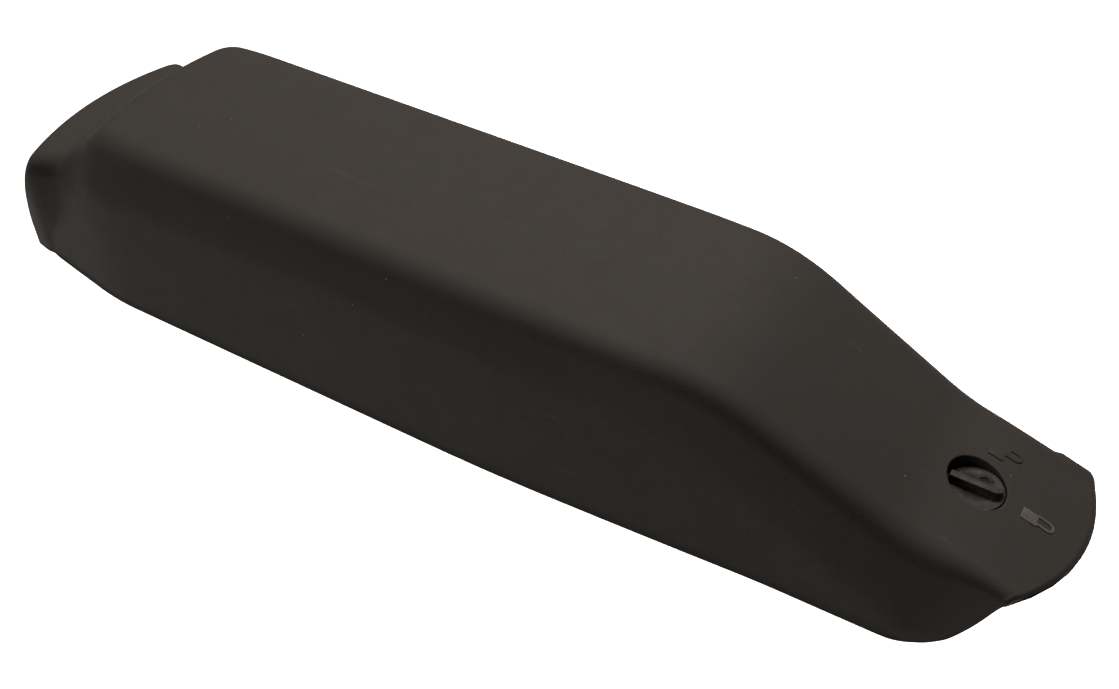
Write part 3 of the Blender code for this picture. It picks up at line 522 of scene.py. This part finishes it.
def soft_block(name, half_x, half_y, z_low, z_high, corner, edge, edge_low=None, steps=3):
    """Upright block about the origin with round corners and rounded top and bottom edges."""
    edge_low = edge if edge_low is None else edge_low
    rings = []
    for size, z_end, up in ((edge_low, z_low, -1), (edge, z_high, 1)):
        part = []
        for a in np.linspace(0, math.pi / 2, steps + 1) if size else [0.0]:
            inset = size * (1 - math.cos(a))
            z = z_end + up * (size * math.sin(a) - size)
            part.append(rounded_rectangle(half_x - inset, half_y - inset, max(corner - inset, 0.05), z))
        rings += part if up > 0 else part[::-1]
    return ring_stack(name, rings, 40)


def place(obj, matrix):
    """Move an object's mesh by a matrix whose shift is in millimetres."""
    matrix = matrix.copy()
    matrix.translation = matrix.translation * MM
    obj.data.transform(matrix)
    return obj


def shifted(obj, x, y, z=0.0):
    return place(obj, Matrix.Translation((x, y, z)))


def combine(target, others, operation):
    """Apply a Boolean of one or several tools to the target, and remove the tools."""
    for tool in others if isinstance(others, list) else [others]:
        modifier = target.modifiers.new(operation, "BOOLEAN")
        modifier.operation = operation
        modifier.object = tool
        modifier.solver = "EXACT"
        settle(target)
        bpy.data.objects.remove(tool, do_unlink=True)
    return target


def cut(target, others):
    return combine(target, others, "DIFFERENCE")


def join(target, others):
    return combine(target, others, "UNION")


def settle(obj):
    """Apply every modifier of an object to its mesh."""
    graph = bpy.context.evaluated_depsgraph_get()
    old = obj.data
    obj.data = bpy.data.meshes.new_from_object(obj.evaluated_get(graph))
    obj.data.name = obj.name
    obj.modifiers.clear()
    bpy.data.meshes.remove(old)


def soften(obj, width_mm, segments=2, angle=40):
    """Round every edge that is sharper than the angle."""
    modifier = obj.modifiers.new("soften", "BEVEL")
    modifier.width = width_mm * MM
    modifier.segments = segments
    modifier.limit_method = "ANGLE"
    modifier.angle_limit = math.radians(angle)
    modifier.harden_normals = True
    settle(obj)
    smooth(obj, angle)
    return obj


def copy_of(node, name):
    """New object with a copy of a CAD node's mesh, to add detail to."""
    obj = bpy.data.objects.new(name, frame["nodes"][node].data.copy())
    bpy.context.scene.collection.objects.link(obj)
    obj.data.materials.clear()
    return obj


def finish_piece(obj, body, slot, nodes=(), material=None):
    """Give a piece its one material and its body, and hide the CAD nodes it stands for."""
    obj.data.materials.clear()
    obj.data.materials.append(MATERIALS[material or slot])
    obj.data.polygons.foreach_set("material_index", [0] * len(obj.data.polygons))
    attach(obj, body)
    if nodes:
        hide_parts(*nodes)
    return obj


# ------------------------------------------------------------------ skin of the cover
def skin_x(station, y):
    return station + rounded_line(BOW, station) * (y - rounded_line(BOW_CENTRE, station)) ** 2


def top_height(station, y):
    x = station if station < 0 else skin_x(station, y)
    return rounded_line(TOP_HEIGHT, x) - rounded_line(END_DROP, station)


def offset_top(station, y, inset):
    """Height of the top skin, or of the surface inset below it."""
    if not inset:
        return top_height(station, y)
    reach = 0.85 * inset
    return min(top_height(station + shift, y) for shift in (-reach, 0, reach)) - inset


def section_corners(station, inset, side=1):
    """Top edge, side crease and rim of one half (side 1 is +Y) as (distance from middle, z)."""
    half = rounded_line(TOP_HALF_WIDTH, station) - 0.8 * inset
    edge = (half, offset_top(station, side * half, inset))
    rim_y = rounded_line(RIM_HALF_WIDTH, station)
    rim_x = skin_x(station, side * rim_y)
    rim_y = rounded_line(RIM_HALF_WIDTH, rim_x)
    bottom = rounded_line(CAVITY_FLOOR if inset else RIM_HEIGHT, rim_x)
    crease_z = max(rounded_line(CREASE_HEIGHT, rim_x), bottom + 0.12 * (edge[1] - bottom))
    if inset:
        crease_z = min(crease_z, edge[1] - 0.4 * (edge[1] - bottom))
    crease_y = max(rim_y - SIDE_DRAFT * (crease_z - bottom), rounded_line(TOP_HALF_WIDTH, station) + 0.2)
    return edge, (crease_y - inset, crease_z), (max(rim_y, crease_y) - inset, bottom)


def lip_points(crease, rim, inset, steps=4):
    """The rim's small outward flare, hollow above and rounded below, as (distance, z)."""
    height = min(LIP_HEIGHT, 0.3 * (crease[1] - rim[1]))
    out = 0 if inset else LIP_OUT * height / LIP_HEIGHT
    ease = min(LIP_ROUND, 0.3 * height)
    lean = (crease[0] - rim[0]) / (crease[1] - rim[1])
    points = []
    for t in np.linspace(0, 1, steps + 1):
        z = rim[1] + height + (ease - height) * t
        points.append((rim[0] + lean * (z - rim[1]) + out * t ** 2, z))
    for a in np.linspace(math.pi / 6, math.pi / 2, 3):
        points.append((rim[0] + out - ease * (1 - math.cos(a)), rim[1] + ease * (1 - math.sin(a))))
    return points


def half_section(station, inset, side, top_steps, ease_steps, bottom_steps):
    """(y, z) points of one half of a cross-section, from the crown round to under the middle."""
    edge, crease, rim = section_corners(station, inset, side)
    corner = eased_corner((0, edge[1]), edge, crease, rounded_line(TOP_EASE, station), ease_steps)
    bend = eased_corner(edge, crease, rim, CREASE_EASE, max(2, ease_steps // 2))
    points = []
    for i in range(top_steps):
        y = corner[0][0] * i / top_steps
        points.append((y, offset_top(station, side * y, inset) + CROWN * (1 - (y / corner[0][0]) ** 2)))
    points += [tuple(p) for p in corner] + [tuple(p) for p in bend]
    points += lip_points(crease, rim, inset)
    floor = CAVITY_FLOOR if inset else RIM_HEIGHT
    widest = points[-1][0]
    for i in range(1, bottom_steps + 1):
        y = widest * (1 - i / bottom_steps)
        points.append((y, rounded_line(floor, skin_x(station, side * y)) if station > 0 else rim[1]))
    return [(side * y, z) for y, z in points]


def skin_solid(name, stations, inset, top_steps, ease_steps, bottom_steps):
    rings = []
    for station in stations:
        far = half_section(station, inset, 1, top_steps, ease_steps, bottom_steps)
        near = half_section(station, inset, -1, top_steps, ease_steps, bottom_steps)
        rings.append([(skin_x(station, y), y, z) for y, z in far + near[-2:0:-1]])
    return ring_stack(name, rings)


def skin_stations():
    """Cross-sections along the pack, closer together at both ends and over the ledge's corners."""
    stations, x = [-X_END], -X_END
    while x < X_END:
        near_end = min(x + X_END, X_END - x) < 24 or -212 < x < -168
        step = TIP_STEP if x > X_END - 2.4 else END_STEP if near_end else SKIN_STEP
        x = min(x + step, X_END)
        stations.append(x)
    return stations


LOCK_TOP = Vector((LOCK_X, 0, rounded_line(TOP_HEIGHT, LOCK_X) + CROWN))


def tongue_point(x, y, lift):
    """Point lift above the skin, at x and y from the lock's axis."""
    world_x = LOCK_X + x
    half = rounded_line(TOP_HALF_WIDTH, world_x) - rounded_line(TOP_EASE, world_x)
    z = rounded_line(TOP_HEIGHT, world_x) + CROWN * (1 - (y / half) ** 2)
    return world_x, y, z + lift


def skirt_frame(y):
    """Frame on the end skirt, +Z pointing out of the pack."""
    share = (SKIRT_HEIGHT - SKIRT_LOW[1]) / (SKIRT_HIGH[1] - SKIRT_LOW[1])
    station = SKIRT_LOW[0] + (SKIRT_HIGH[0] - SKIRT_LOW[0]) * share
    lean = math.atan2(SKIRT_HIGH[0] - SKIRT_LOW[0], SKIRT_HIGH[1] - SKIRT_LOW[1])
    point = Vector((skin_x(station, y), y, SKIRT_HEIGHT))
    return Matrix.Translation(point) @ Matrix.Rotation(-math.pi / 2 + lean, 4, "Y")


# ------------------------------------------------------------------ housing
def make_cover():
    """Cover shell with its cavity, lock recess, cam slot and the holes for button and gauge."""
    cover = skin_solid("cover_shell", skin_stations(), 0, 14, 10, 4)
    cut(cover, skin_solid("tool_cavity", CAVITY_STATIONS, WALL, 2, 2, 3))
    boss_top = [(x, y, -TONGUE_SLOPE * x - BOSS_TOP_DEPTH) for x, y, _ in circle(BOSS_R, 0)]
    join(cover, place(ring_stack("tool_boss", [boss_top, circle(BOSS_R, -BOSS_END_DEPTH)]),
                      Matrix.Translation(LOCK_TOP)))
    cut(cover, recess_tool())
    bore = turned("tool_bore", [(BORE_R, 6), (BORE_R, -BOSS_END_DEPTH - 3)])
    cut(cover, place(bore, Matrix.Translation(LOCK_TOP)))
    low, high = CAM_SLOT
    half = [(b - a) / 2 for a, b in zip(low, high)]
    slot = soft_block("tool_slot", half[0], half[2], -half[1], half[1], 1.2, 0)
    place(slot, Matrix.Rotation(math.pi / 2, 4, "X"))
    middle = LOCK_TOP + Vector([(a + b) / 2 for a, b in zip(low, high)])
    cut(cover, place(slot, Matrix.Translation(middle)))
    hole_r = BUTTON_R + BUTTON_CLEARANCE
    hole = turned("tool_button", [(hole_r, -9), (hole_r, -0.6), (hole_r + 0.5, 0.1), (hole_r + 0.6, 5)])
    cut(cover, place(hole, skirt_frame(BUTTON_Y)))
    window_half = [half_size + GAUGE_CLEARANCE for half_size in GAUGE_HALF]
    window = soft_block("tool_gauge", *window_half, -9, 5, 1.2, 0)
    cut(cover, place(window, skirt_frame(GAUGE_Y)))
    smooth(cover, 32)
    finish_piece(cover, HOUSING, "cover_plastic", ["top_cover"])


def recess_tool():
    """Round cutter whose side flares into the skin, so that the recess's rim is rounded."""
    count, rings = 96, []
    heights = [("skin", 6.0, RECESS_ROUND + 0.2)]
    for a in np.linspace(math.pi / 2, 0, 6):
        heights.append(("skin", RECESS_ROUND * (math.sin(a) - 1), RECESS_ROUND * (1 - math.cos(a))))
    heights.append(("flat", -RECESS_STEP_DEPTH, 0.0))
    for kind, height, grow in heights:
        ring = []
        for x, y, _ in circle(RECESS_R + grow, 0, count):
            if kind == "skin":
                ring.append(tongue_point(x, y, height))
            else:
                ring.append(tuple(LOCK_TOP + Vector((x, y, height))))
        rings.append(ring)
    return ring_stack("tool_recess", rings)


def make_tray():
    """Tray with two rows of shallow pockets between its ribs, its edges rounded."""
    tray = copy_of("base_tray", "base_tray_ribbed")
    tools = []
    for column in range(POCKET_COUNT):
        for side in (-1, 1):
            tool = soft_block(f"tool_pocket_{column}_{side}", *POCKET_HALF, -2, POCKET_DEPTH, 3.0, 0.5,
                              edge_low=0)
            tools.append(shifted(tool, POCKET_FIRST_X + POCKET_PITCH * column, side * POCKET_Y))
    cut(tray, tools)
    soften(tray, 0.3)
    finish_piece(tray, HOUSING, "tray_plastic", ["base_tray"])


def make_screws():
    """Cover screws with a low round head and a six-sided socket, seen from below."""
    places = [(x, side * y) for x, y in SCREW_PLACES for side in (1, -1)]
    for number, (x, y) in enumerate(places, start=1):
        head = [(1.2, 0.36)] + [(r, 1.4 - (z - 0.5)) for r, z in round_over(3.1, 1.5, 0.55)][::-1]
        profile = head + [(3.1, 1.4), (1.3, 1.42)]
        for turn in range(12):
            profile += [(1.3, 1.8 + turn), (1.08, 2.25 + turn)]
        screw = turned(f"cover_screw_{number}_detailed", profile + [(0.7, 14.5)], count=36)
        socket = turned("tool_socket", [(1.25, -1), (1.25, 1.25)], count=6)
        cut(screw, socket)
        smooth(screw, 40)
        shifted(screw, x, y)
        finish_piece(screw, HOUSING, "screw_steel", [f"cover_screw_{number}"])


# ------------------------------------------------------------------ lock
def make_knob():
    """Disc, upright grip bar and shaft, with a curved arrow raised on the disc's face."""
    profile = [(0.4, -DISC_DEPTH - 0.18), (DISC_R - 1.9, -DISC_DEPTH - 0.12), (DISC_R - 1.5, -DISC_DEPTH)]
    profile += round_over(DISC_R, -DISC_DEPTH, 0.4)[::-1]
    profile += [(DISC_R, -DISC_BOTTOM_DEPTH), (SHAFT_R, -DISC_BOTTOM_DEPTH - 0.01),
                (SHAFT_R, -SHAFT_END_DEPTH), (STUD_R, -SHAFT_END_DEPTH - 0.01), (STUD_R, -STUD_END_DEPTH)]
    knob = turned("lock_knob_detailed", profile, count=96)
    join(knob, [grip_bar(), arrow_arc(), arrow_head()])
    cut(knob, turned("tool_thread", [(THREAD_R, -13), (THREAD_R, -25)], count=24))
    smooth(knob, 38)
    place(knob, Matrix.Translation(LOCK_TOP))
    finish_piece(knob, LOCK, "knob_plastic", ["lock_knob"])


def grip_bar():
    """Bar with drafted sides, its end toward the lock's mark cut to a blunt point on the near side."""
    half_x, half_y = GRIP_HALF
    outline = [(half_x, -0.2), (half_x, half_y), (-half_x, half_y), (-half_x, -half_y),
               (half_x - 2.4, -half_y)]
    rings = []
    for z, grow in ((-DISC_DEPTH - 1, 0.30), (-GRIP_DEPTH, 0.0)):
        rings.append([(x + math.copysign(grow * (abs(x) > 9), x), y + math.copysign(grow, y), z)
                      for x, y in outline])
    return soften(ring_stack("tool_grip", rings), 0.22, 3, 25)


def arrow_arc():
    """Raised band round a quarter turn of the disc's far half."""
    centre_x, centre_y = ARROW_CENTRE
    band = ((-0.24, -0.5), (-0.18, ARROW_RISE), (0.18, ARROW_RISE), (0.24, -0.5))
    rings = []
    for a in np.linspace(*ARROW_ANGLES, 15):
        rings.append([(centre_x + (ARROW_R + out) * math.cos(a), centre_y + (ARROW_R + out) * math.sin(a),
                       -DISC_DEPTH + z) for out, z in band])
    return ring_stack("tool_arc", rings)


def arrow_head():
    base, tip = ARROW_ANGLES[1], ARROW_ANGLES[1] + math.radians(40)
    corners = []
    for radius, angle in ((ARROW_R, tip), (ARROW_R - 0.6, base), (ARROW_R + 0.6, base)):
        corners.append((ARROW_CENTRE[0] + radius * math.cos(angle),
                        ARROW_CENTRE[1] + radius * math.sin(angle)))
    rings = [[(x, y, -DISC_DEPTH + z) for x, y in corners] for z in (-0.5, ARROW_RISE)]
    return ring_stack("tool_head", rings)


def mark_body(name, x0, y0):
    """Solid body of a padlock mark, following the skin, its top edge rounded."""
    length, width = MARK_BODY
    rings = []
    for lift, inset in ((-0.4, 0.0), (MARK_RISE - 0.14, 0.0), (MARK_RISE - 0.04, 0.05), (MARK_RISE, 0.16)):
        outline = rounded_rectangle(length / 2 - inset, width / 2 - inset, 0.35, steps=3)
        rings.append([tongue_point(x0 + length / 2 + x, y0 + y, lift) for x, y, _ in outline])
    return ring_stack(name, rings)


def mark_shackle(name, x0, y0, left_leg, right_leg):
    """Bent wire of a padlock mark: a leg, a half turn and a leg, each leg of its own length."""
    r = MARK_SHACKLE_R
    path = [(-right_leg, -r, 0.0), (0.0, -r, 0.0)]
    path += [(r * math.sin(a), -r * math.cos(a), a) for a in np.linspace(0, math.pi, 17)[1:-1]]
    path += [(0.0, r, math.pi), (-left_leg, r, math.pi)]
    half = MARK_WIRE / 2
    rings = []
    for x, y, a in path:
        across = (math.sin(a), -math.cos(a))
        rings.append([tongue_point(x0 + x + across[0] * s, y0 + y + across[1] * s, lift) for s, lift in
                      ((-half, -0.4), (-half, MARK_RISE - 0.1), (-half + 0.12, MARK_RISE),
                       (half - 0.12, MARK_RISE), (half, MARK_RISE - 0.1), (half, -0.4))])
    return ring_stack(name, rings)


def make_marks():
    """Closed padlock ahead of the lock, and open padlock beside it."""
    held_leg = MARK_SHACKLE_LEG + MARK_OVERLAP
    marks = (("locked_mark", LOCKED_MARK, LOCKED_SHIFT, held_leg, "mark_face"),
             ("unlocked_mark", UNLOCKED_MARK, UNLOCKED_SHIFT, OPEN_LEG, "cover_plastic"))
    for name, (x, y), shift, far_leg, material in marks:
        mark = mark_body(name, x, y)
        bend_x = x + MARK_BODY[0] + MARK_SHACKLE_LEG
        join(mark, mark_shackle("tool_shackle", bend_x, y + shift, far_leg, held_leg))
        smooth(mark, 30)
        finish_piece(mark, HOUSING, "cover_plastic", material=material)


def make_cam():
    cam = soften(copy_of("lock_cam", "lock_cam_detailed"), 0.25, 2)
    finish_piece(cam, LOCK, "zinc_steel", ["lock_cam"])


# ------------------------------------------------------------------ socket
def make_socket():
    """Discharge socket with a rounded mouth, two brass blades and a signal block with four pins."""
    half_x, half_y = SOCKET_OUTER_HALF
    rings = []
    flange_z = TRAY_THICK + 0.3
    for grow, z in ((-0.3, 0.0), (0, 0.3), (0, flange_z), (SOCKET_FLANGE, flange_z),
                    (SOCKET_FLANGE, flange_z + 2), (-1, flange_z + 2.01), (-1, SOCKET_TOP)):
        rings.append(rounded_rectangle(half_x + grow, half_y + grow, 2.0, z))
    body = shifted(ring_stack("socket_body", rings), SOCKET_X, 0)
    mouth = []
    for grow, z in ((1.1, -0.5), (0.8, 0.0), (0.25, 0.35), (0, 1.0), (0, SOCKET_DEPTH)):
        mouth.append(rounded_rectangle(SOCKET_HALF[0] + grow, SOCKET_HALF[1] + grow, 1.5, z))
    cut(body, shifted(ring_stack("tool_mouth", mouth), SOCKET_X, 0))
    for x in (-14, 14):
        key = soft_block("tool_key", 1.6, 1.0, 0.8, SOCKET_DEPTH + 0.4, 0.5, 0)
        join(body, shifted(key, SOCKET_X + x, SOCKET_HALF[1] - 0.5))
    smooth(body, 38)
    finish_piece(body, HOUSING, "connector_plastic", ["discharge_connector"])
    for number, x in enumerate((-BLADE_X, BLADE_X), start=1):
        blade = soft_block(f"socket_blade_{number}", *BLADE_HALF, BLADE_TIP_Z, SOCKET_DEPTH + 0.8, 0.25, 0.2,
                           edge_low=0.45)
        finish_piece(shifted(blade, SOCKET_X + x, 0), HOUSING, "zinc_steel", material="brass")
    block = soft_block("signal_block", *SIGNAL_HALF, SIGNAL_TIP_Z, SOCKET_DEPTH + 0.8, 0.5, 0.2, edge_low=0.3)
    for column in range(4):
        bore = turned("tool_pin_bore", [(0.62, 0), (0.62, SIGNAL_TIP_Z + 2.5)], count=16)
        cut(block, shifted(bore, -3.3 + 2.2 * column, 0))
    smooth(block, 38)
    finish_piece(shifted(block, SOCKET_X, 0), HOUSING, "connector_plastic")
    for column in range(4):
        profile = [(0.1, 4.0), (0.32, 4.25), (0.42, 4.6), (0.42, SIGNAL_TIP_Z + 2.9)]
        pin = shifted(turned(f"signal_pin_{column + 1}", profile, count=16), SOCKET_X - 3.3 + 2.2 * column, 0)
        finish_piece(pin, HOUSING, "zinc_steel", material="brass")


# ------------------------------------------------------------------ button and gauge
def make_button():
    """Soft button with a dished face and the common power symbol raised on it."""
    profile = [(0.3, 0.55), (2.6, 0.60), (3.9, 0.78)] + round_over(BUTTON_R, 1.08, 0.7)[::-1]
    profile += [(BUTTON_R, -4.99), (BUTTON_FLANGE_R, -5.0), (BUTTON_FLANGE_R, -6.2)]
    button = turned("power_button_detailed", profile, count=72)
    gap = math.radians(32)
    band = ((1.75, 0.2), (1.8, 0.86), (2.2, 0.86), (2.25, 0.2))
    ring = []
    for a in np.linspace(gap, 2 * math.pi - gap, 33):
        ring.append([(r * math.cos(a), r * math.sin(a), z) for r, z in band])
    bar = soft_block("tool_bar", 1.1, 0.22, 0.2, 0.86, 0.15, 0.05)
    join(button, [ring_stack("tool_symbol", ring), shifted(bar, 1.8, 0)])
    smooth(button, 38)
    place(button, skirt_frame(BUTTON_Y))
    finish_piece(button, BUTTON, "seal_rubber", ["power_button"])


def make_gauge():
    """Smoked window with a row of small light guides let into it."""
    lens = soft_block("gauge_window", *GAUGE_HALF, *GAUGE_HEIGHTS, 1.2, 0.3)
    step = 2 * (GAUGE_HALF[1] - GAUGE_END) / GAUGE_LIGHTS
    rows = [-GAUGE_HALF[1] + GAUGE_END + step * (number + 0.5) for number in range(GAUGE_LIGHTS)]
    for y in rows:
        cut(lens, shifted(soft_block("tool_guide", 1.05, 1.75, -1.0, 1.0, 0.5, 0), 0, y))
    smooth(lens, 38)
    finish_piece(place(lens, skirt_frame(GAUGE_Y)), HOUSING, "gauge_lens", ["gauge_lens"])
    for number, y in enumerate(rows, start=1):
        guide = shifted(soft_block(f"charge_light_{number}", 0.98, 1.68, -0.95, 0.22, 0.45, 0.15), 0, y)
        finish_piece(place(guide, skirt_frame(GAUGE_Y)), HOUSING, "gauge_lens", material="light_guide")


def dress_cad_nodes():
    """Give every CAD node that is still shown the finish of its record slot."""
    for row in frame["record"]["subparts"]:
        node = frame["nodes"][row["node"]]
        node.data.materials.clear()
        node.data.materials.append(MATERIALS[row["material_slot"]])


MATERIALS = make_materials()
make_camera()
make_studio()
dress_cad_nodes()
make_cover()
make_tray()
make_screws()
make_knob()
make_marks()
make_cam()
make_socket()
make_button()
make_gauge()
